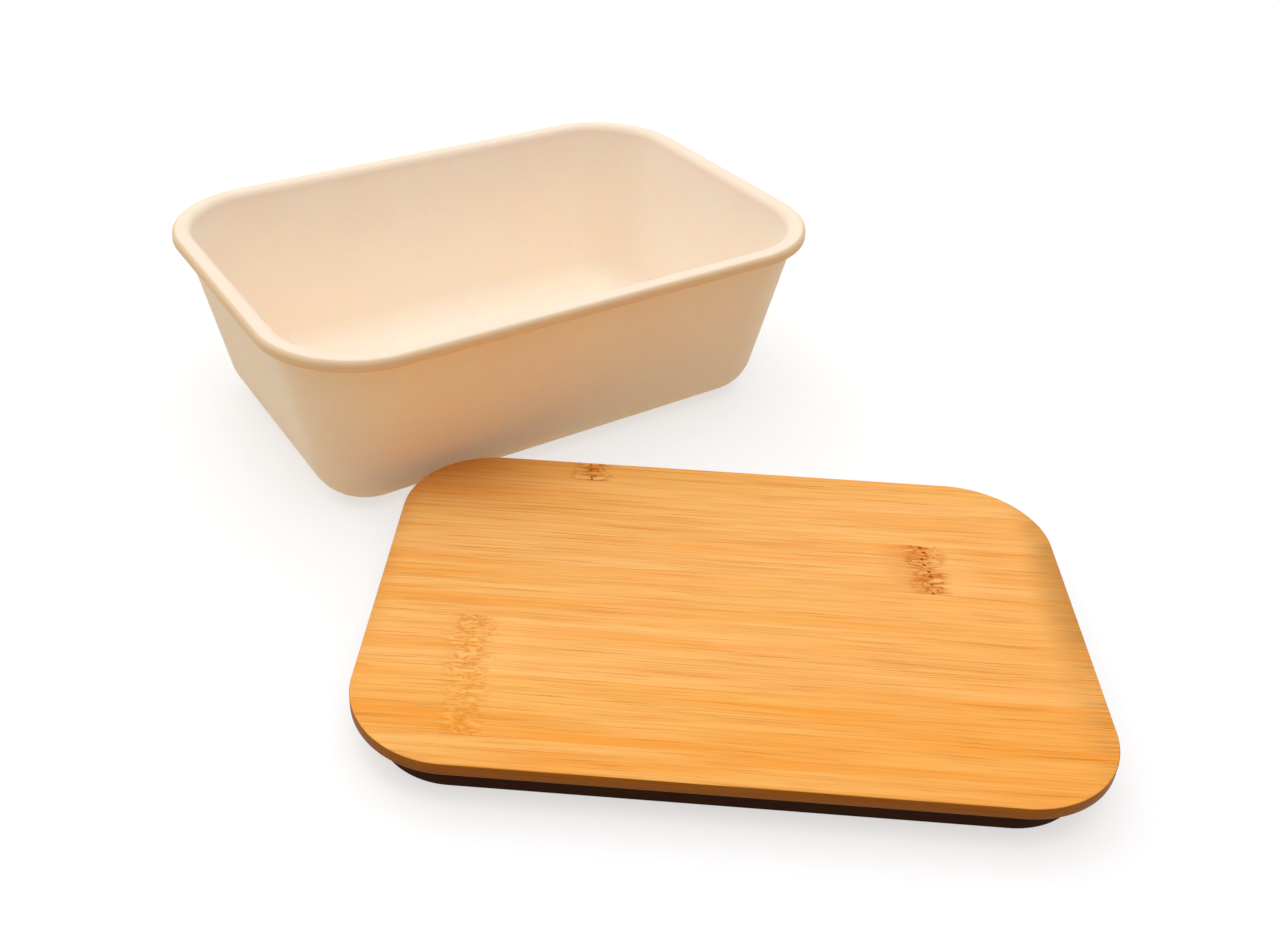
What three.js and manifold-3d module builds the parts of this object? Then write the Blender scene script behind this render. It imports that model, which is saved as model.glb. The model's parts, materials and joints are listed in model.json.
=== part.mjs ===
// Lunch box: a tapered moulded tub with a rounded lip, and a lid glued up from bamboo strips
// with a silicone seal round its plug. The lid is off and lies flat beside the tub, top up.
// Millimetres, +Z up. The origin is the centre of the tub's flat underside.

import * as THREE from 'three';
import { mergeVertices } from 'three/addons/utils/BufferGeometryUtils.js';
import Module from 'manifold-3d';

const wasm = await Module();
wasm.setup();

// Tub
const rimLength = 180;
const rimWidth = 123.5;
const rimCornerRadius = 30;
const tubHeight = 58.8;
const wallThickness = 3;
const floorThickness = 3.2;
const wallDraft = THREE.MathUtils.degToRad(12.4);
const lipOverhang = 3.35;
const lipHeight = 3.7;
const lipTopRadius = 1.6;
const lipUnderRadius = 1;
const rimInnerRadius = 2.6;
const footRadius = 14;

// Lid: the flange lies on the rim, and the plug and its seal go into the tub's mouth
const lidEndInset = 2.3;
const lidSideInset = 2.6;
const lidCornerRadius = 25;
const flangeThickness = 3.4;
const flangeEdgeRadius = 0.4;
const stripWidth = 20.1;
const narrowestStrip = 3;
const glueLine = 0.15;
const plugDepth = 9.7;
const plugEdgeRadius = 0.5;
const sealInset = 5.8;
const sealCornerRadius = 19.6;
const sealThickness = 3.2;
const sealProud = 1.8;
const sealEdgeRadius = 0.4;
const skirtLift = 0.1;
const seatGap = 0.2;
const retainerHeight = 2;
const shoulderHeight = 0.6;

// Where the lid lies: turned, with its nearest edge a little clear of the tub's front wall
const lidTurn = THREE.MathUtils.degToRad(-36);
const lidStandOff = 3.2;
const lidSideways = -11.8;

// Facets: steps in a quarter of a plan corner, and in one rounded edge of a section
const cornerSteps = 8;
const edgeSteps = 4;
const smallestCornerRadius = 0.8;

const cream = new THREE.Color('#f3dabb');
const bamboo = new THREE.Color('#efaa5c');
const bambooCore = new THREE.Color('#d9964b');
const darkSilicone = new THREE.Color('#26170f');

// Points of a rounded rectangle, anticlockwise from above
function roundedRectangle(halfLength, halfWidth, wantedRadius) {
  const radius = Math.max(wantedRadius, smallestCornerRadius);
  const x = halfLength - radius;
  const y = halfWidth - radius;
  const quarter = Math.PI / 2;
  const outline = new THREE.Path();
  outline.absarc(x, y, radius, 0, quarter);
  outline.absarc(-x, y, radius, quarter, 2 * quarter);
  outline.absarc(-x, -y, radius, 2 * quarter, 3 * quarter);
  outline.absarc(x, -y, radius, 3 * quarter, 4 * quarter);
  return outline.getPoints(cornerSteps / 2);
}

// Points of an arc in a section, where x is the inset from the outer edge and y the height
function sectionArc(centreInset, centreHeight, radius, startAngle, endAngle) {
  const clockwise = endAngle < startAngle;
  const arc = new THREE.EllipseCurve(
    centreInset, centreHeight, radius, radius, startAngle, endAngle, clockwise,
  );
  return arc.getPoints(edgeSteps);
}

// Skin over outlines that follow a section: up the outside and over. A ring's section closes
// on itself, and any other starts with a flat underside and ends with a flat face.
function sweptSection(section, outlineAt, isRing) {
  const rows = section.map((point) => outlineAt(point.x));
  const across = rows[0].length;
  const positions = [];
  rows.forEach((row, level) => {
    row.forEach((point) => positions.push(point.x, point.y, section[level].y));
  });
  const triangles = [];
  const lastLevel = isRing ? rows.length : rows.length - 1;
  for (let level = 0; level < lastLevel; level += 1) {
    const low = level * across;
    const high = ((level + 1) % rows.length) * across;
    for (let i = 0; i < across; i += 1) {
      const next = (i + 1) % across;
      triangles.push(low + i, low + next, high + next);
      triangles.push(low + i, high + next, high + i);
    }
  }
  if (!isRing) {
    const top = (rows.length - 1) * across;
    for (let i = 1; i < across - 1; i += 1) {
      triangles.push(0, i + 1, i);
      triangles.push(top, top + i, top + i + 1);
    }
  }
  const geometry = new THREE.BufferGeometry();
  geometry.setAttribute('position', new THREE.Float32BufferAttribute(positions, 3));
  geometry.setIndex(triangles);
  geometry.computeVertexNormals();
  return geometry;
}

function solidFrom(geometry) {
  const bare = geometry.clone();
  bare.deleteAttribute('normal');
  bare.deleteAttribute('uv');
  const merged = mergeVertices(bare);
  return new wasm.Manifold(new wasm.Mesh({
    numProp: 3,
    vertProperties: merged.attributes.position.array,
    triVerts: new Uint32Array(merged.index.array),
  }));
}

function geometryFrom(solid) {
  const mesh = solid.getMesh();
  const geometry = new THREE.BufferGeometry();
  geometry.setAttribute('position', new THREE.BufferAttribute(mesh.vertProperties, 3));
  geometry.setIndex(new THREE.BufferAttribute(mesh.triVerts, 1));
  geometry.computeVertexNormals();
  return geometry;
}

function named(name, geometry, color, roughness) {
  const material = new THREE.MeshStandardMaterial({ color, roughness, metalness: 0 });
  const mesh = new THREE.Mesh(geometry, material);
  mesh.name = name;
  return mesh;
}

// Inset of the tub's wall from the rim's outer edge, at a height above the base
const wallSlope = Math.tan(wallDraft);
const outerInset = (height) => lipOverhang + (tubHeight - lipHeight - height) * wallSlope;
const innerInset = (height) => outerInset(height) + wallThickness / Math.cos(wallDraft);

const tubOutline = (inset) => roundedRectangle(
  rimLength / 2 - inset,
  rimWidth / 2 - inset,
  rimCornerRadius - inset,
);

function makeTub() {
  const down = 1.5 * Math.PI;
  const outward = Math.PI;
  const up = Math.PI / 2;

  // Rounded foot, which runs into the sloping wall outside, and inside into the floor
  const footTop = footRadius * (1 - Math.sin(wallDraft));
  const footCentre = outerInset(footTop) + footRadius * Math.cos(wallDraft);
  const foot = sectionArc(footCentre, footRadius, footRadius, down, outward + wallDraft);
  const coveRadius = footRadius - wallThickness;
  const coveTop = floorThickness + coveRadius * (1 - Math.sin(wallDraft));
  const coveCentre = innerInset(coveTop) + coveRadius * Math.cos(wallDraft);
  const cove = sectionArc(
    coveCentre, floorThickness + coveRadius, coveRadius, outward + wallDraft, down,
  );

  // Lip, flat below with both outer edges rounded, and the rim's softer inner edge
  const lipBottom = tubHeight - lipHeight;
  const lipUnder = sectionArc(
    lipUnderRadius, lipBottom + lipUnderRadius, lipUnderRadius, down, outward,
  );
  const lipTop = sectionArc(lipTopRadius, tubHeight - lipTopRadius, lipTopRadius, outward, up);
  const rimBottom = tubHeight - rimInnerRadius * (1 - Math.sin(wallDraft));
  const rimCentre = innerInset(rimBottom) - rimInnerRadius * Math.cos(wallDraft);
  const rimInner = sectionArc(
    rimCentre, tubHeight - rimInnerRadius, rimInnerRadius, up, wallDraft,
  );

  const underLip = new THREE.Vector2(lipOverhang, lipBottom);
  const section = [...foot, underLip, ...lipUnder, ...lipTop, ...rimInner, ...cove];
  return named('tub', sweptSection(section, tubOutline, false), cream, 0.55);
}

// The lid is made in its own frame, with the underside of its plug at height 0
const lidLength = rimLength - 2 * lidEndInset;
const lidWidth = rimWidth - 2 * lidSideInset;
const lidThickness = plugDepth + flangeThickness;

const flangeOutline = (inset) => roundedRectangle(
  lidLength / 2 - inset,
  lidWidth / 2 - inset,
  lidCornerRadius - inset,
);

// The seal's outline lies inside the flange's, and fits the tub's inner wall at the plug's depth
const sealOutline = (inset) => roundedRectangle(
  lidLength / 2 - sealInset - inset,
  lidWidth / 2 - sealInset - inset,
  sealCornerRadius - inset,
);

const sealBottom = retainerHeight + seatGap;
const sealTop = plugDepth - shoulderHeight - seatGap;

// Upper layer of the lid: one flange, with its edges rounded, sawn along the lid into strips
function makeStrips() {
  const under = plugDepth;
  const top = lidThickness;
  const radius = flangeEdgeRadius;
  const quarter = Math.PI / 2;
  const section = [
    ...sectionArc(radius, under + radius, radius, 3 * quarter, 2 * quarter),
    ...sectionArc(radius, top - radius, radius, 2 * quarter, quarter),
  ];
  const flange = solidFrom(sweptSection(section, flangeOutline, false));

  const linesEachSide = Math.floor((lidWidth / 2 - narrowestStrip) / stripWidth + 0.5);
  const count = 2 * linesEachSide + 1;
  const strips = [];
  for (let i = 0; i < count; i += 1) {
    const nearLine = (i - linesEachSide - 0.5) * stripWidth;
    const near = i === 0 ? -lidWidth : nearLine + glueLine / 2;
    const far = i === count - 1 ? lidWidth : nearLine + stripWidth - glueLine / 2;
    const sawn = new THREE.BoxGeometry(2 * lidLength, far - near, 4 * lidThickness);
    sawn.translate(0, (near + far) / 2, 0);
    const strip = geometryFrom(flange.intersect(solidFrom(sawn)));
    strips.push(named(`lid_strip_${i + 1}`, strip, bamboo, 0.5));
  }
  return strips;
}

// Lower layer: the plug, with a groove round it for the seal and a narrow retainer below that
function makePlug() {
  const edge = sealProud;
  const groove = sealThickness + seatGap;
  const radius = plugEdgeRadius;
  const section = [
    ...sectionArc(edge + radius, radius, radius, 1.5 * Math.PI, Math.PI),
    new THREE.Vector2(edge, retainerHeight),
    new THREE.Vector2(groove, retainerHeight),
    new THREE.Vector2(groove, plugDepth - shoulderHeight),
    new THREE.Vector2(edge, plugDepth - shoulderHeight),
    new THREE.Vector2(edge, plugDepth - glueLine),
  ];
  return named('lid_plug', sweptSection(section, sealOutline, false), bambooCore, 0.55);
}

// Seal: a band keyed into the groove, with a skirt down over the retainer, outer edges rounded
function makeSeal() {
  const radius = sealEdgeRadius;
  const quarter = Math.PI / 2;
  const skirtBack = sealProud - seatGap;
  const section = [
    ...sectionArc(radius, skirtLift + radius, radius, 3 * quarter, 2 * quarter),
    ...sectionArc(radius, sealTop - radius, radius, 2 * quarter, quarter),
    new THREE.Vector2(sealThickness, sealTop),
    new THREE.Vector2(sealThickness, sealBottom),
    new THREE.Vector2(skirtBack, sealBottom),
    new THREE.Vector2(skirtBack, skirtLift),
  ];
  return named('lid_seal', sweptSection(section, sealOutline, true), darkSilicone, 0.6);
}

const lid = new THREE.Group();
lid.add(...makeStrips(), makePlug(), makeSeal());

// How far the turned lid reaches towards the tub from its own middle
const lidReach = (lidLength / 2 - lidCornerRadius) * Math.abs(Math.sin(lidTurn))
  + (lidWidth / 2 - lidCornerRadius) * Math.abs(Math.cos(lidTurn))
  + lidCornerRadius;
const tubFront = rimWidth / 2 - outerInset(lidThickness);
lid.rotation.z = lidTurn;
lid.position.set(lidSideways, -(tubFront + lidStandOff + lidReach), 0);

const lunchBox = new THREE.Group();
lunchBox.add(makeTub(), lid);

export default lunchBox;
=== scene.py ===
import json
from math import cos, pi, radians, sin, tan

import bmesh
import bpy
from mathutils import Matrix, Vector


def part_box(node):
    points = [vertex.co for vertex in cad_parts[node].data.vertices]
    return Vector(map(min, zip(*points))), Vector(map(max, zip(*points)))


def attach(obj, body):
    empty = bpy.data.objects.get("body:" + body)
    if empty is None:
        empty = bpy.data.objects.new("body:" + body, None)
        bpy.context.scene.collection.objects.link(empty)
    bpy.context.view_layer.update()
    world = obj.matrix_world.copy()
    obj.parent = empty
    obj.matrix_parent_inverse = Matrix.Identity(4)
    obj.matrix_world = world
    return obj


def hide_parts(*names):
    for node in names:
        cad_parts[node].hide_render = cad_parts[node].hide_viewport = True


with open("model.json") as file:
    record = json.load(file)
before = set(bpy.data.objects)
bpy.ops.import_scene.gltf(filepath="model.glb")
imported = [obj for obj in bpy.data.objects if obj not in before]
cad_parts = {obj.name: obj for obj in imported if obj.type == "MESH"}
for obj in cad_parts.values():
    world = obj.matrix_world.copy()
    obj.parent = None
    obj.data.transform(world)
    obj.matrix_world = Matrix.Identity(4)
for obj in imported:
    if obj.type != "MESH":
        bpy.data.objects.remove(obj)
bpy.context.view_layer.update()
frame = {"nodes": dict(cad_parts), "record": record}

# Lunch box with a bamboo lid: metres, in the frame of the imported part.
# The tub stands at the origin and the lid lies in front of it, top up.
mm = 0.001
touching = 1e-3 * mm          # points closer than this are one
smoothAngle = radians(40)     # edges that turn more than this stay crisp
white = (1, 1, 1, 1)
print("frame loaded:", ", ".join(frame["nodes"]))


# Shaping: a section is drawn point by point, spun round a corner and mirrored

def roundedChain(corners, steps):
    # corners are (reach from the corner's axis, height, radius of the rounded edge)
    chain = []
    for i, (reach, height, radius) in enumerate(corners):
        corner = Vector((reach, height))
        if radius == 0:
            chain.append(corner)
            continue
        before = (Vector(corners[i - 1][:2]) - corner).normalized()
        after = (Vector(corners[(i + 1) % len(corners)][:2]) - corner).normalized()
        half = before.angle(after) / 2
        centre = corner + (before + after).normalized() * radius / sin(half)
        first = (corner + before * radius / tan(half) - centre).normalized()
        last = (corner + after * radius / tan(half) - centre).normalized()
        across = (last - first * last.dot(first)).normalized()
        for k in range(steps + 1):
            turn = (pi - 2 * half) * k / steps
            chain.append(centre + (first * cos(turn) + across * sin(turn)) * radius)
    return chain


def selectOnly(piece):
    bpy.ops.object.select_all(action="DESELECT")
    piece.select_set(True)
    bpy.context.view_layer.objects.active = piece


def selectPoints(piece, wanted):
    mesh = bmesh.from_edit_mesh(piece.data)
    for point in mesh.verts:
        point.select_set(wanted(point.co))
    mesh.select_flush_mode()
    bmesh.update_edit_mesh(piece.data)


def mergePoints():
    bpy.ops.mesh.select_all(action="SELECT")
    bpy.ops.mesh.remove_doubles(threshold=touching)
    bpy.ops.mesh.select_all(action="SELECT")


def sweepRound(name, chain, core, cornerSteps, asRing=False):
    # One corner is spun, both its ends are drawn out to the middle, and two mirrors do the rest
    bpy.ops.object.select_all(action="DESELECT")
    bpy.ops.mesh.primitive_plane_add(size=mm)
    piece = bpy.context.object
    piece.name = piece.data.name = name
    bpy.ops.object.mode_set(mode="EDIT")
    bpy.ops.mesh.select_mode(type="VERT")
    bpy.ops.mesh.select_all(action="SELECT")
    bpy.ops.mesh.merge(type="CENTER")
    places = [Vector((core.x + point.x, core.y, point.y)) for point in chain]
    bpy.ops.transform.translate(value=places[0])
    for here, there in zip(places, places[1:] + (places[:1] if asRing else [])):
        bpy.ops.mesh.extrude_region_move(TRANSFORM_OT_translate={"value": there - here})
    mergePoints()
    bpy.ops.mesh.spin(steps=cornerSteps, angle=-pi / 2, center=core, axis=(0, 0, 1))
    mergePoints()
    selectPoints(piece, lambda co: abs(co.y - core.y) < touching)
    bpy.ops.mesh.extrude_region_move(TRANSFORM_OT_translate={"value": (0, -core.y, 0)})
    selectPoints(piece, lambda co: abs(co.x - core.x) < touching and co.y > core.y - touching)
    bpy.ops.mesh.extrude_region_move(TRANSFORM_OT_translate={"value": (-core.x, 0, 0)})
    bpy.ops.object.mode_set(mode="OBJECT")
    mirror = piece.modifiers.new("mirror", "MIRROR")
    mirror.use_axis = (True, True, False)
    mirror.merge_threshold = touching
    bpy.ops.object.modifier_apply(modifier=mirror.name)
    bpy.ops.object.mode_set(mode="EDIT")
    mergePoints()
    if not asRing:
        bpy.ops.mesh.fill_holes(sides=0)     # the flat middles
        bpy.ops.mesh.select_all(action="SELECT")
    bpy.ops.mesh.normals_make_consistent(inside=False)
    bpy.ops.object.mode_set(mode="OBJECT")
    return piece


def finishPiece(piece, body, node, material):
    selectOnly(piece)
    bpy.ops.object.transform_apply(location=True, rotation=True, scale=True)
    bpy.ops.object.shade_smooth_by_angle(angle=smoothAngle)
    piece.data.materials.append(material)
    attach(piece, body)
    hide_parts(node)


# Materials: nodes on Object coordinates, counted in millimetres

def linear(code):
    # sRGB hex, as a painter would write it, to linear RGBA
    channels = [int(code[i:i + 2], 16) / 255 for i in (1, 3, 5)]
    return tuple(c / 12.92 if c <= 0.04045 else ((c + 0.055) / 1.055) ** 2.4 for c in channels) + (1,)


def addNode(tree, kind, sockets, out=0, stops=None, **settings):
    # sockets go by name or number and hold a value or another node's output; out is the output handed on
    node = tree.nodes.new("ShaderNode" + kind)
    for key, value in settings.items():
        setattr(node, key, value)
    for key, value in sockets.items():
        if isinstance(value, bpy.types.NodeSocket):
            tree.links.new(value, node.inputs[key])
        else:
            node.inputs[key].default_value = value
    if stops:
        ramp = node.color_ramp.elements
        while len(ramp) < len(stops):
            ramp.new(1)
        for element, (place, tone) in zip(ramp, stops):
            element.position = place
            element.color = linear(tone)
    return node.outputs[out] if node.outputs else None


def newMaterial(name):
    material = bpy.data.materials.new(name)
    material.use_nodes = True
    material.node_tree.nodes.clear()
    return material, material.node_tree


def grainOf(tree, place, size, shift=(0, 0, 0), **noise):
    # Noise whose grains measure size in millimetres: all round, or a length along x and a width
    length, width = size if isinstance(size, tuple) else (size, size)
    scaled = addNode(tree, "Mapping", {"Vector": place, "Location": shift,
                                       "Scale": (1 / length, 1 / width, 1 / width)})
    return addNode(tree, "TexNoise", {"Vector": scaled, "Scale": 1, **noise}, out="Fac")


def shownWhere(tree, strength, *edges):
    # A mask: each edge is a value, where its soft step starts and where it is full
    shown = strength
    for value, start, full in edges:
        step = addNode(tree, "MapRange", {"Value": value, "From Min": start, "From Max": full},
                       interpolation_type="SMOOTHSTEP")
        shown = addNode(tree, "Math", {0: step, 1: shown}, operation="MULTIPLY")
    return shown


def layOver(tree, color, layers):
    # Each layer is a mask and the colour that it brings
    for shown, tone in layers:
        color = addNode(tree, "Mix", {0: shown, 6: color, 7: linear(tone)}, out=2, data_type="RGBA")
    return color


def finishSurface(tree, color, rough, relief, depth, shader):
    bump = addNode(tree, "Bump", {"Height": relief, "Distance": depth})
    skin = addNode(tree, "BsdfPrincipled", {"Base Color": color, "Roughness": rough, "Normal": bump,
                                            **shader})
    addNode(tree, "OutputMaterial", {"Surface": skin})


# Tub: one moulding in cream polypropylene with a fine matte grain. The eye gets an even, warm,
# nearly shadowless surface with a soft broad gleam, a little shinier where the rim is rubbed.
tub = {
    "cornerRadius": 30 * mm,
    "wall": 3 * mm,
    "floor": 3.2 * mm,
    "draft": radians(12.4),
    "lipOverhang": 3.35 * mm,
    "lipHeight": 3.7 * mm,
    "lipTopRadius": 1.6 * mm,
    "lipUnderRadius": 1 * mm,
    "lipRootRadius": 0.6 * mm,
    "rimInnerRadius": 2.6 * mm,
    "footRadius": 14 * mm,
    "cornerSteps": 48,
    "edgeSteps": 10,
    "cream": [(0.3, "#fae9d8"), (0.7, "#fbecdc")],    # tones of the moulding, by its slow mottle
    "mottleSize": 28,          # mm
    "rimShadeCream": "#f7e2cb",     # painted shade: the lip, too thick to let light through, is drawn a deeper cream so that it looks less bright
    "rimFade": 1,              # mm below the lip where that starts
    "lipShadeTan": "#eacca6",      # painted shade, deepest on the lip's outer edge
    "edgeFade": 0.5,           # mm
    "edgeOut": (15, 50),       # mm out from the tub's axis along a face's normal: 0 on top of the lip
    "grainSize": 0.7,          # mm, the mould's grain, drawn coarser than real so that it shows
    "grainDepth": 0.012 * mm,
    "grainRange": (0.3, 0.7),
    "roughness": (0.45, 0.55),
    "rubbed": 3,               # mm below the rim where hands have polished it
    "rubbedGloss": 0.05,
    "glow": 0.9,               # the thin wall lets some light through, warmer than it came in
    "glowDrop": 1.3,           # lip heights below the rim where it does so in full
    "shader": {"IOR": 1.49, "Specular IOR Level": 0.25, "Subsurface Radius": (1, 0.65, 0.4),
               "Subsurface Scale": 3.4 * mm},
}


def creamPlastic():
    material, tree = newMaterial("matteCreamPolypropylene")
    coords = addNode(tree, "TexCoord", {}, out="Object")
    place = addNode(tree, "Mapping", {"Vector": coords, "Scale": (mm, mm, mm)}, vector_type="TEXTURE")
    mottle = grainOf(tree, place, tub["mottleSize"], Detail=4, Roughness=0.55)
    grain = grainOf(tree, place, tub["grainSize"])
    color = addNode(tree, "ValToRGB", {0: mottle}, stops=tub["cream"])

    # The lip, drawn deeper with painted shade, and deeper still on the faces that look outwards
    height = addNode(tree, "SeparateXYZ", {0: place}, out="Z")
    rim = tubHigh.z / mm
    lipFoot = lipBottom / mm
    normal = addNode(tree, "TexCoord", {}, out="Normal")
    level = addNode(tree, "VectorMath", {0: place, 1: (1, 1, 0)}, operation="MULTIPLY")
    outward = addNode(tree, "VectorMath", {0: level, 1: normal}, out="Value", operation="DOT_PRODUCT")
    onLip = (height, lipFoot - tub["rimFade"], rim)
    onEdge = (height, lipFoot - tub["edgeFade"], lipFoot)
    color = layOver(tree, color, [
        (shownWhere(tree, 1, onLip), tub["rimShadeCream"]),
        (shownWhere(tree, 1, onEdge, (outward, *tub["edgeOut"])), tub["lipShadeTan"]),
    ])

    low, high = tub["grainRange"]
    smooth, coarse = tub["roughness"]
    rough = addNode(tree, "MapRange", {"Value": grain, "From Min": low, "From Max": high,
                                       "To Min": smooth, "To Max": coarse})
    gloss = shownWhere(tree, tub["rubbedGloss"], (height, rim - tub["rubbed"], rim))
    rough = addNode(tree, "Math", {0: rough, 1: gloss}, operation="SUBTRACT")
    thin = shownWhere(tree, tub["glow"], (height, rim, rim - tub["glowDrop"] * tub["lipHeight"] / mm))
    shader = {**tub["shader"], "Subsurface Weight": thin}
    finishSurface(tree, color, rough, grain, tub["grainDepth"], shader)
    return material


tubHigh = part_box("tub")[1]
tubCore = Vector((tubHigh.x - tub["cornerRadius"], tubHigh.y - tub["cornerRadius"], 0))
lipBottom = tubHigh.z - tub["lipHeight"]


def outerReach(height):
    inset = tub["lipOverhang"] + (lipBottom - height) * tan(tub["draft"])
    return tub["cornerRadius"] - inset


def innerReach(height):
    return outerReach(height) - tub["wall"] / cos(tub["draft"])


tubSection = roundedChain([
    (0, 0, 0),
    (outerReach(0), 0, tub["footRadius"]),
    (outerReach(lipBottom), lipBottom, tub["lipRootRadius"]),
    (tub["cornerRadius"], lipBottom, tub["lipUnderRadius"]),
    (tub["cornerRadius"], tubHigh.z, tub["lipTopRadius"]),
    (innerReach(tubHigh.z), tubHigh.z, tub["rimInnerRadius"]),
    (innerReach(tub["floor"]), tub["floor"], tub["footRadius"] - tub["wall"]),
    (0, tub["floor"], 0),
], tub["edgeSteps"])
tubShell = sweepRound("tubShell", tubSection, tubCore, tub["cornerSteps"])
finishPiece(tubShell, "tub", "tub", creamPlastic())
print("tub moulded:", len(tubShell.data.polygons), "faces")


# Lid: a flange glued up from bamboo strips
lid = {
    "turn": radians(-36),
    "endInset": 2.3 * mm,
    "sideInset": 2.6 * mm,
    "cornerRadius": 25 * mm,
    "edgeRadius": 0.4 * mm,
    "stripWidth": 20.1 * mm,
    "cornerSteps": 40,
    "edgeSteps": 5,
}

# Each strip: its own stretch of grain, its honey, how much amber runs through it and how far it ripens
# to amber towards its right end. Where a growth ring crosses it, ring is the place along the lid in mm,
# half is half its width, tone is its colour, and the rest say how strongly each mark shows.
strips = [
    {"grain": 11, "honey": "#f6b865", "amber": 0.6, "ripe": 0.4},
    {"grain": 23, "honey": "#f6b863", "amber": 0.7, "ripe": 0.42,
     "ring": -60.5, "half": 7.5, "tone": "#de8612", "curl": 0.6, "pits": 0.12, "stain": 0.1, "halo": 0.05},
    {"grain": 37, "honey": "#f7bb6d", "amber": 0.45, "ripe": 0.2,
     "ring": -62, "half": 8, "tone": "#da8416", "curl": 0.65, "pits": 0.2, "stain": 0.1, "halo": 0.25},
    {"grain": 41, "honey": "#f7bb6c", "amber": 0.45, "ripe": 0.22},
    {"grain": 59, "honey": "#f8bf75", "amber": 0.4, "ripe": 0.18,
     "ring": 52.5, "half": 6.5, "tone": "#c46400", "curl": 0.85, "pits": 1, "stain": 0.6, "halo": 0.2},
    {"grain": 67, "honey": "#f7bc70", "amber": 0.4, "ripe": 0},
    {"grain": 83, "honey": "#f4b766", "amber": 0.4, "ripe": 0.1,
     "ring": -37.4, "half": 7, "tone": "#b86000", "curl": 0.9, "pits": 0.9, "stain": 0.35, "halo": 0.1},
]

lidTop = next(m for m in frame["record"]["mounts"] if m["name"] == "lid_top")["pos_m"]
lidPlace = Vector((lidTop[0], lidTop[1], 0))
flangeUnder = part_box("lid_strip_4")[0].z
lidHalf = Vector((tubHigh.x - lid["endInset"], tubHigh.y - lid["sideInset"], 0))


def lidMillimetres(tree):
    # Object coordinates turned and centred on the lid, x along the fibres
    coords = addNode(tree, "TexCoord", {}, out="Object")
    return addNode(tree, "Mapping", {"Vector": coords, "Location": lidPlace, "Rotation": (0, 0, lid["turn"]),
                                     "Scale": (mm, mm, mm)}, vector_type="TEXTURE")


# Growth ring: a wavy band of curled fibres, pale and dark, with a row of pits, a stain on its left and
# a pale halo on its right. Here and for the bamboo, lengths and widths are in mm, and a mark's range
# holds the values at which it starts to show and shows in full.
growth = {
    "waveSize": 5,
    "wave": 4,                    # how far the band wanders along the lid
    "core": 0.3,                  # share of its half width in which its curls show in full
    "curlSize": (5.5, 1.5),
    "curlBands": 4,               # how many curls lie between the noise's lowest and highest values
    "paleCurl": "#fbc578",
    "paleRange": (0.3, 0.45),
    "paleShare": 0.6,
    "darkRange": (0.24, 0.06),
    "cloudRange": (0.42, 0.62),   # clouds of the ring's tone behind the curls
    "cloudShare": 0.3,
    "pitBrown": "#9a4400",
    "pitSpacing": 2.6,
    "pitRange": (0.7, 0.25),      # from the middle of a pit
    "haloStart": (0, 5),          # from the middle of the band
    "haloEnd": (17, 7),
    "stainStart": (-15, -1),
    "stainEnd": (3, 0),
    "stainFibres": (0.42, 0.6),
}


def growthRing(tree, place, shift, fibre, strip):
    # The ring's layers of colour, and how deep its pits are
    along, across = addNode(tree, "SeparateXYZ", {0: place}).node.outputs[:2]
    wave = grainOf(tree, place, growth["waveSize"], shift)
    wavy = addNode(tree, "Math", {0: wave, 1: growth["wave"], 2: along}, operation="MULTIPLY_ADD")
    middle = strip["ring"] + growth["wave"] / 2
    away = addNode(tree, "Math", {0: wavy, 1: middle}, operation="SUBTRACT")
    far = addNode(tree, "Math", {0: away}, operation="ABSOLUTE")
    inBand = (far, strip["half"], growth["core"] * strip["half"])

    # Curled fibres lie along the level lines of a stretched noise, where ripple swings from 0 to 0.5
    curl = grainOf(tree, place, growth["curlSize"], shift, Detail=3, Distortion=0.6)
    ripple = addNode(tree, "Math", {0: curl, 1: growth["curlBands"]}, operation="MULTIPLY")
    ripple = addNode(tree, "Math", {0: ripple, 1: 0.5}, operation="PINGPONG")

    # Pits stand in a row, each at its own distance from the next
    spaced = addNode(tree, "Math", {0: across, 1: growth["pitSpacing"]}, operation="DIVIDE")
    gap = addNode(tree, "TexVoronoi", {"W": spaced, "Scale": 1, "Randomness": 0.7}, out="Distance",
                  voronoi_dimensions="1D")
    gap = addNode(tree, "Math", {0: gap, 1: growth["pitSpacing"]}, operation="MULTIPLY")
    fromPit = addNode(tree, "CombineXYZ", {0: gap, 1: away})
    fromPit = addNode(tree, "VectorMath", {0: fromPit}, out="Value", operation="LENGTH")
    pit = shownWhere(tree, strip["pits"], (fromPit, *growth["pitRange"]))

    halo = shownWhere(tree, strip["halo"], (away, *growth["haloStart"]), (away, *growth["haloEnd"]))
    stain = shownWhere(tree, strip["stain"], (away, *growth["stainStart"]), (away, *growth["stainEnd"]),
                       (fibre, *growth["stainFibres"]))
    pale = shownWhere(tree, growth["paleShare"] * strip["curl"], inBand, (ripple, *growth["paleRange"]))
    dark = shownWhere(tree, strip["curl"], inBand, (ripple, *growth["darkRange"]))
    cloud = shownWhere(tree, growth["cloudShare"] * strip["curl"], inBand, (curl, *growth["cloudRange"]))
    layers = [
        (halo, growth["paleCurl"]),
        (pale, growth["paleCurl"]),
        (dark, strip["tone"]),
        (cloud, strip["tone"]),
        (stain, strip["tone"]),
        (pit, growth["pitBrown"]),
    ]
    return layers, pit
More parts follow.
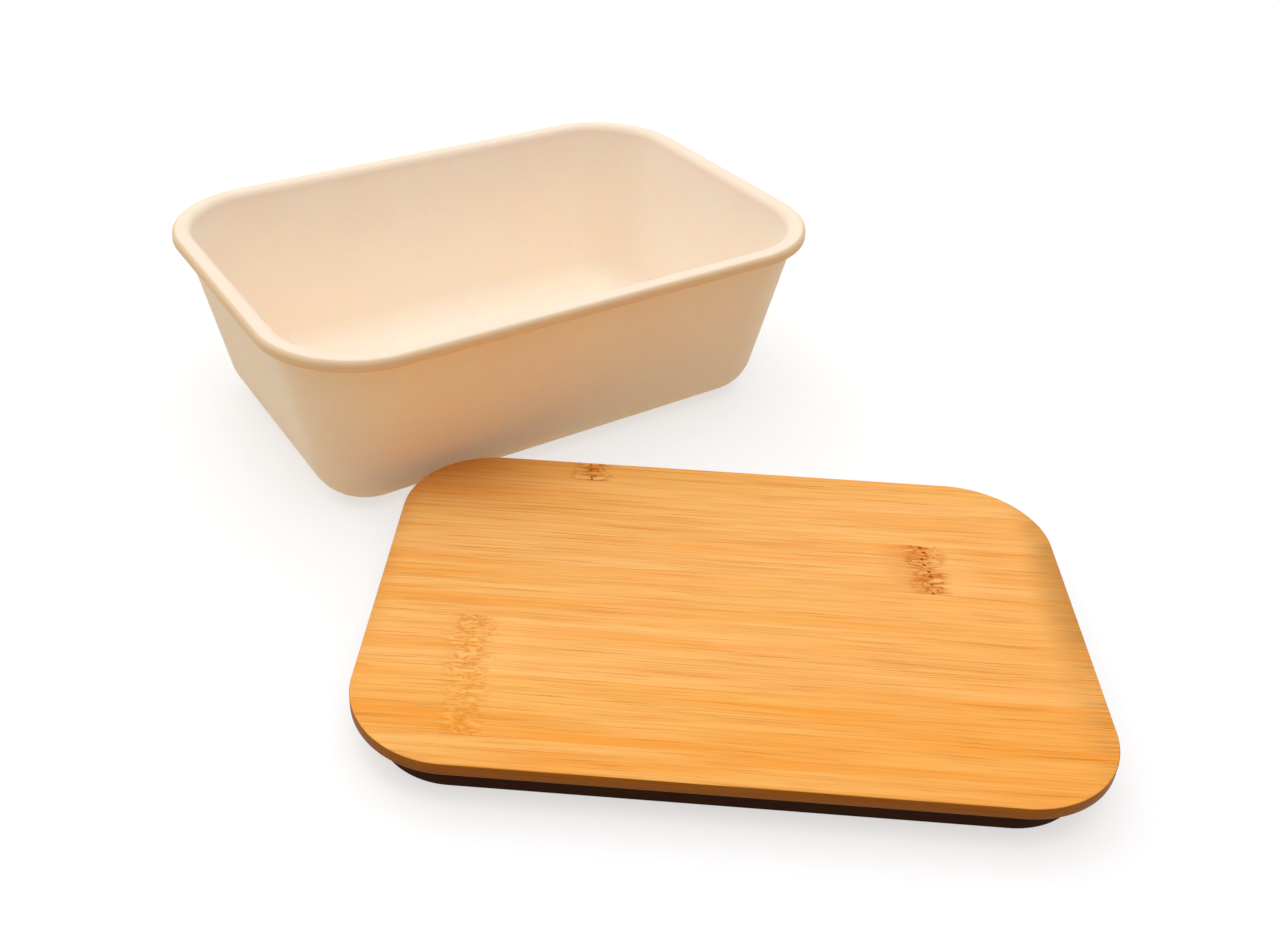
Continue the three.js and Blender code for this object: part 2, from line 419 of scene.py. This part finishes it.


# Bamboo, planed, glued and oiled. The eye gets warm honey with fine straight fibres along the lid,
# amber streaks, short dark pores and the growth rings. The ends are tinted olive, the back left corner
# carries a painted shadow of the tub, and the cut edges are drawn browner as painted shade.
bamboo = {
    "grainSteps": (3.7, 0.9, 1.3),     # each strip starts elsewhere in the noise, its grain times these
    "fibres": [((240, 17), 0.2), ((80, 1.5), 0.3), ((32, 0.5), 0.5)],    # length and width, weight
    "fibreTint": [(0.37, "#eccea4"), (0.5, "#fbf2e4"), (0.62, "#ffffff")],    # on the strip's own honey
    "fibreDepth": 0.03 * mm,
    "strays": 1.4,                     # how far a fibre strays sideways
    "straySize": 45,
    "amber": "#f0942a",
    "streak": (110, 7),
    "streakRange": (0.46, 0.7),
    "ripeRange": (-20, 85),            # along the lid
    "poreBrown": "#bd742a",
    "pore": (24, 0.33),
    "poreRange": (0.55, 0.72),
    "poreShare": 0.55,
    "endOlive": "#a9722c",
    "endTintReach": 12,                     # how far the olive tint reaches in from the right end
    "endLean": 3,                      # from the left end it reaches in by twice this less
    "endPast": 1,                      # it would be full this far past the right end
    "patchSize": 26,
    "patchRange": (0.3, 0.6),
    "patchAcross": (-30, 10),          # the patches lie towards the back
    "patchShare": 0.6,
    "dullFibres": (0.46, 0.58),
    "dullShare": 0.55,
    "tubShadowBrown": "#a85a08",          # painted shadow of the tub, on the left at the back
    "tubShadowAlong": (-34, -84),
    "tubShadowAcross": (24, 58),
    "tubShadowShare": 0.8,
    # painted shade: the cut edges are drawn a deeper brown than the top
    "cutEdgeShadeBrown": "#a0600a",
    "cutLowerShade": "#96602a",             # painted shade, deeper on the lower part of a cut edge
    "cutDrop": 1,                      # below the top, where that starts
    "cutRange": (0.85, 0.35),          # by how far a face looks up or down: 1 on top, 0 on a cut edge
    "grainRange": (0.35, 0.65),
    "roughness": (0.56, 0.45),
    "shader": {"IOR": 1.46, "Specular IOR Level": 0.15},
}


def oiledBamboo(name, strip):
    material, tree = newMaterial(name)
    place = lidMillimetres(tree)
    along, across, height = addNode(tree, "SeparateXYZ", {0: place}).node.outputs
    shift = [strip["grain"] * step for step in bamboo["grainSteps"]]

    # Fibres stray a little sideways
    stray = grainOf(tree, place, bamboo["straySize"], Detail=1)
    sideways = addNode(tree, "Math", {0: stray, 1: bamboo["strays"], 2: across}, operation="MULTIPLY_ADD")
    strayed = addNode(tree, "CombineXYZ", {0: along, 1: sideways, 2: height})
    grain = 0
    for size, weight in bamboo["fibres"]:
        fibre = grainOf(tree, strayed, size, shift, Detail=3, Roughness=0.62)
        grain = addNode(tree, "Math", {0: fibre, 1: weight, 2: grain}, operation="MULTIPLY_ADD")
    tint = addNode(tree, "ValToRGB", {0: grain}, stops=bamboo["fibreTint"])
    color = addNode(tree, "Mix", {0: 1, 6: linear(strip["honey"]), 7: tint}, out=2, data_type="RGBA",
                    blend_type="MULTIPLY")

    streak = grainOf(tree, strayed, bamboo["streak"], shift, Detail=2)
    pore = grainOf(tree, strayed, bamboo["pore"], shift)
    layers = [
        (shownWhere(tree, strip["amber"], (streak, *bamboo["streakRange"])), bamboo["amber"]),
        (shownWhere(tree, strip["ripe"], (along, *bamboo["ripeRange"])), bamboo["amber"]),
        (shownWhere(tree, bamboo["poreShare"], (pore, *bamboo["poreRange"])), bamboo["poreBrown"]),
    ]
    relief = grain
    if "ring" in strip:
        marks, pit = growthRing(tree, place, shift, fibre, strip)
        layers += marks
        relief = addNode(tree, "Math", {0: grain, 1: pit}, operation="SUBTRACT")

    # Ends tinted olive, in patches and along single fibres, and the painted shadow of the tub on the corner
    leaning = addNode(tree, "Math", {0: along, 1: bamboo["endLean"]}, operation="ADD")
    fromMiddle = addNode(tree, "Math", {0: leaning}, operation="ABSOLUTE")
    end = lidHalf.x / mm + bamboo["endLean"]
    atEnd = (fromMiddle, end - bamboo["endTintReach"], end + bamboo["endPast"])
    patch = grainOf(tree, place, bamboo["patchSize"])
    patches = shownWhere(tree, bamboo["patchShare"], atEnd, (across, *bamboo["patchAcross"]),
                         (patch, *bamboo["patchRange"]))
    dull = shownWhere(tree, bamboo["dullShare"], atEnd, (fibre, *bamboo["dullFibres"]))
    # painted shadow of the tub on the back left corner
    corner = shownWhere(tree, bamboo["tubShadowShare"], (along, *bamboo["tubShadowAlong"]),
                        (across, *bamboo["tubShadowAcross"]))
    layers += [(patches, bamboo["endOlive"]), (dull, bamboo["endOlive"]), (corner, bamboo["tubShadowBrown"])]
    color = layOver(tree, color, layers)

    # Cut edges, drawn browner than the top as painted shade, deepest on their lower part
    normal = addNode(tree, "TexCoord", {}, out="Normal")
    facing = addNode(tree, "SeparateXYZ", {0: normal}, out="Z")
    upright = addNode(tree, "Math", {0: facing}, operation="ABSOLUTE")
    below = shownWhere(tree, 1, (height, lidTop[2] / mm - bamboo["cutDrop"], flangeUnder / mm))
    sawn = layOver(tree, linear(bamboo["cutEdgeShadeBrown"]), [(below, bamboo["cutLowerShade"])])
    sawn = addNode(tree, "Mix", {0: 1, 6: sawn, 7: tint}, out=2, data_type="RGBA", blend_type="MULTIPLY")
    cut = shownWhere(tree, 1, (upright, *bamboo["cutRange"]))
    color = addNode(tree, "Mix", {0: cut, 6: color, 7: sawn}, out=2, data_type="RGBA")

    low, high = bamboo["grainRange"]
    coarse, smooth = bamboo["roughness"]
    rough = addNode(tree, "MapRange", {"Value": grain, "From Min": low, "From Max": high,
                                       "To Min": coarse, "To Max": smooth})
    finishSurface(tree, color, rough, relief, bamboo["fibreDepth"], bamboo["shader"])
    return material


def layOnTable(piece):
    piece.rotation_euler.z = lid["turn"]
    piece.location = lidPlace


lidCore = Vector((lidHalf.x - lid["cornerRadius"], lidHalf.y - lid["cornerRadius"], 0))
flangeSection = roundedChain([
    (0, flangeUnder, 0),
    (lid["cornerRadius"], flangeUnder, lid["edgeRadius"]),
    (lid["cornerRadius"], lidTop[2], lid["edgeRadius"]),
    (0, lidTop[2], 0),
], lid["edgeSteps"])
flange = sweepRound("lidFlange", flangeSection, lidCore, lid["cornerSteps"])

# The flange is sawn along the lid into its strips, each a copy with one or two cuts
for i, strip in enumerate(strips):
    selectOnly(flange)
    bpy.ops.object.duplicate(linked=False)
    sawn = bpy.context.object
    sawn.name = sawn.data.name = f"lidStrip{i + 1}"
    nearLine = (i - len(strips) / 2) * lid["stripWidth"]
    cuts = []
    if i > 0:
        cuts.append((nearLine, True))
    if i < len(strips) - 1:
        cuts.append((nearLine + lid["stripWidth"], False))
    bpy.ops.object.mode_set(mode="EDIT")
    for line, dropNear in cuts:
        bpy.ops.mesh.select_all(action="SELECT")
        bpy.ops.mesh.bisect(plane_co=(0, line, 0), plane_no=(0, 1, 0), use_fill=True,
                            clear_inner=dropNear, clear_outer=not dropNear)
    bpy.ops.mesh.select_all(action="SELECT")
    bpy.ops.mesh.normals_make_consistent(inside=False)
    bpy.ops.object.mode_set(mode="OBJECT")
    layOnTable(sawn)
    finishPiece(sawn, "lid", f"lid_strip_{i + 1}", oiledBamboo(f"oiledBamboo{i + 1}", strip))
bpy.data.objects.remove(flange)
print("lid sawn into", len(strips), "strips")


# Plug: the bamboo board under the flange, with a groove round it for the seal and a retainer below
plug = {
    "sealInset": 5.8 * mm,
    "sealCornerRadius": 19.6 * mm,
    "sealThickness": 3.2 * mm,
    "sealProud": 1.8 * mm,
    "seatGap": 0.2 * mm,
    "retainerHeight": 2 * mm,
    "shoulderHeight": 0.6 * mm,
    "glueLine": 0.15 * mm,
    "edgeRadius": 0.5 * mm,
    "cornerSteps": 32,
    "edgeSteps": 5,
    "grain": 97,
    "honey": "#eaa653",
    "amber": 0.5,
    "ripe": 0.1,
}
sealReach = plug["sealCornerRadius"]
plugCore = Vector((lidHalf.x - plug["sealInset"] - sealReach, lidHalf.y - plug["sealInset"] - sealReach, 0))
plugReach = sealReach - plug["sealProud"]
grooveReach = sealReach - plug["sealThickness"] - plug["seatGap"]
shoulder = flangeUnder - plug["shoulderHeight"]
plugTop = flangeUnder - plug["glueLine"]
plugSection = roundedChain([
    (0, 0, 0),
    (plugReach, 0, plug["edgeRadius"]),
    (plugReach, plug["retainerHeight"], 0),
    (grooveReach, plug["retainerHeight"], 0),
    (grooveReach, shoulder, 0),
    (plugReach, shoulder, 0),
    (plugReach, plugTop, 0),
    (0, plugTop, 0),
], plug["edgeSteps"])
lidPlug = sweepRound("lidPlug", plugSection, plugCore, plug["cornerSteps"])
layOnTable(lidPlug)
finishPiece(lidPlug, "lid", "lid_plug", oiledBamboo("sandedBambooBoard", plug))
print("plug cut")


# Seal: a moulded silicone band, dark brown, keyed into the groove with a skirt over the retainer.
# The eye gets a nearly black satin with a faint bloom.
seal = {
    "edgeRadius": 0.4 * mm,
    "innerEdgeRadius": 0.2 * mm,
    "skirtLift": 0.1 * mm,
    "cornerSteps": 32,
    "edgeSteps": 5,
    "brown": [(0.4, "#321808"), (0.75, "#442814")],    # bare silicone, and bloom on it
    "bloomSize": 9,               # mm, patches of dust and bloom
    "bloomRange": (0.35, 0.7),
    "roughness": (0.62, 0.75),
    "grainSize": 0.5,             # mm
    "grainDepth": 0.012 * mm,
    "shader": {"IOR": 1.41, "Specular IOR Level": 0.1},
}


def darkSilicone():
    material, tree = newMaterial("darkMouldedSilicone")
    place = lidMillimetres(tree)
    bloom = grainOf(tree, place, seal["bloomSize"], Detail=5, Roughness=0.65)
    grain = grainOf(tree, place, seal["grainSize"])
    color = addNode(tree, "ValToRGB", {0: bloom}, stops=seal["brown"])
    low, high = seal["bloomRange"]
    smooth, coarse = seal["roughness"]
    rough = addNode(tree, "MapRange", {"Value": bloom, "From Min": low, "From Max": high,
                                       "To Min": smooth, "To Max": coarse})
    finishSurface(tree, color, rough, grain, seal["grainDepth"], seal["shader"])
    return material


sealBottom = plug["retainerHeight"] + plug["seatGap"]
sealTop = shoulder - plug["seatGap"]
sealBack = sealReach - plug["sealThickness"]
skirtBack = plugReach + plug["seatGap"]
sealSection = roundedChain([
    (skirtBack, seal["skirtLift"], seal["innerEdgeRadius"]),
    (sealReach, seal["skirtLift"], seal["edgeRadius"]),
    (sealReach, sealTop, seal["edgeRadius"]),
    (sealBack, sealTop, seal["innerEdgeRadius"]),
    (sealBack, sealBottom, seal["innerEdgeRadius"]),
    (skirtBack, sealBottom, 0),
], seal["edgeSteps"])
lidSeal = sweepRound("lidSeal", sealSection, plugCore, seal["cornerSteps"], asRing=True)
layOnTable(lidSeal)
finishPiece(lidSeal, "lid", "lid_seal", darkSilicone())
print("seal fitted")


# Stage: a white floor that keeps the shadows, under a sky with a few soft lights
stage = {
    "floorSize": 12,              # metres
    "floorDrop": 0.05 * mm,       # keeps the floor clear of the undersides
    "floorGlow": 0.6,             # share of the floor that glows white by itself, the rest takes shadows
    "floorBounce": "#dcc9a8",     # what the floor gives back to the object
    "bounceGlow": 0.4,            # share of that which the object's shadow leaves alone
    # Azimuth from the back, tilt from overhead, strength, and focus, which is higher for a smaller light
    "lights": [
        (345, 40, 1.25, 3),       # behind
        (0, 0, 0.78, 1.5),        # overhead
        (200, 18, 2.7, 20),       # high in front
        (100, 65, 0.3, 3),        # low on the right
        (0, 180, 0.8, 1),         # below, for the undersides when the floor is taken away
    ],
}


def seenAsWhite(tree):
    # The eye, a reflection and a clear piece are shown a white floor and sky, and other rays get the light
    rays = addNode(tree, "LightPath", {}).node.outputs
    seen = addNode(tree, "Math", {0: rays["Is Camera Ray"], 1: rays["Is Glossy Ray"]}, operation="MAXIMUM")
    return addNode(tree, "Math", {0: seen, 1: rays["Is Transmission Ray"]}, operation="MAXIMUM")


def paleFloor():
    # White to the eye, a warm pale tone as a source of bounced light
    material, tree = newMaterial("paleFloor")
    seen = seenAsWhite(tree)
    bounce = linear(stage["floorBounce"])
    color = addNode(tree, "Mix", {0: seen, 6: bounce, 7: white}, out=2, data_type="RGBA")
    matte = addNode(tree, "BsdfDiffuse", {"Color": color})
    glow = addNode(tree, "Emission", {"Color": color, "Strength": 1})
    share = addNode(tree, "Mix", {0: seen, 2: stage["bounceGlow"], 3: stage["floorGlow"]})
    lit = addNode(tree, "MixShader", {0: share, 1: matte, 2: glow})
    addNode(tree, "OutputMaterial", {"Surface": lit})
    return material


bpy.ops.object.select_all(action="DESELECT")
bpy.ops.mesh.primitive_plane_add(size=stage["floorSize"], location=(0, 0, -stage["floorDrop"]))
floor = bpy.context.object
floor.name = "floor"
floor.data.materials.append(paleFloor())

world = bpy.data.worlds.new("softSky")
bpy.context.scene.world = world
world.use_nodes = True
world.node_tree.nodes.clear()
sky = world.node_tree
toSky = addNode(sky, "TexCoord", {}, out="Generated")
light = 0
for azimuth, tilt, strength, focus in stage["lights"]:
    turn, lean = radians(azimuth), radians(tilt)
    axis = Vector((sin(turn) * sin(lean), cos(turn) * sin(lean), cos(lean)))
    toward = addNode(sky, "VectorMath", {0: toSky, 1: axis}, out="Value", operation="DOT_PRODUCT")
    toward = addNode(sky, "Math", {0: toward, 1: 0}, operation="MAXIMUM")
    soft = addNode(sky, "Math", {0: toward, 1: focus}, operation="POWER")
    light = addNode(sky, "Math", {0: soft, 1: strength, 2: light}, operation="MULTIPLY_ADD")
light = addNode(sky, "Mix", {0: seenAsWhite(sky), 2: light, 3: 1})
glow = addNode(sky, "Background", {"Color": white, "Strength": light})
addNode(sky, "OutputWorld", {"Surface": glow})
print("stage lit")


# Camera: worked out from the outlines of the tub and the lid
shot = {
    "eye": Vector((-188.58, -344.82, 238.94)) * mm,
    "aim": Vector((17.66, -21.97, 0)) * mm,
    "roll": radians(1.741),
    "lens": 38.756,
    "sensor": 36,
    "shiftX": 0.05154,
    "shiftY": -0.05527,
    "nearest": 10 * mm,
}
gaze = (shot["aim"] - shot["eye"]).to_track_quat("-Z", "Y").to_matrix().to_4x4()
bpy.ops.object.camera_add()
camera = bpy.context.object
camera.name = "photoCamera"
camera.matrix_world = Matrix.Translation(shot["eye"]) @ gaze @ Matrix.Rotation(shot["roll"], 4, "Z")
camera.data.sensor_width = shot["sensor"]
camera.data.lens = shot["lens"]
camera.data.shift_x = shot["shiftX"]
camera.data.shift_y = shot["shiftY"]
camera.data.clip_start = shot["nearest"]
bpy.context.scene.camera = camera
bpy.context.scene.view_settings.view_transform = "Standard"
